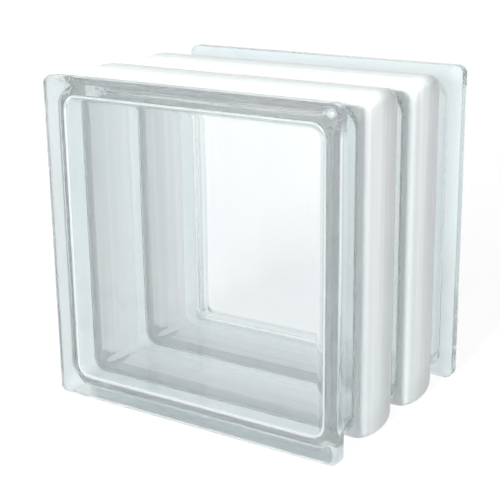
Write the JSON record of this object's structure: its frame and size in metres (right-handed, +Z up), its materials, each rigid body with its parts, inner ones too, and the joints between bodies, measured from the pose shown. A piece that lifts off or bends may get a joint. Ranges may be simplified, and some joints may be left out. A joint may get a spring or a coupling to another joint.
{
  "type": "glass block",
  "caption": "Thick clear hollow glass block with a square face, rounded rims, and rounded ribs with mortar key grooves round its edges.",
  "frame": {"origin": "centre of the lower edge side, on the plane that the block stands on", "axes": "+Z up through the upper edge side, -Y out of the front clear face, +X to the right seen from the front"},
  "size_m": [0.19, 0.15, 0.19],
  "materials": {
    "clear_glass": "fire-polished clear pressed glass with a faint blue-green cast"
  },
  "bodies": {
    "root": {"glass_block": "clear_glass"}
  },
  "joints": []
}
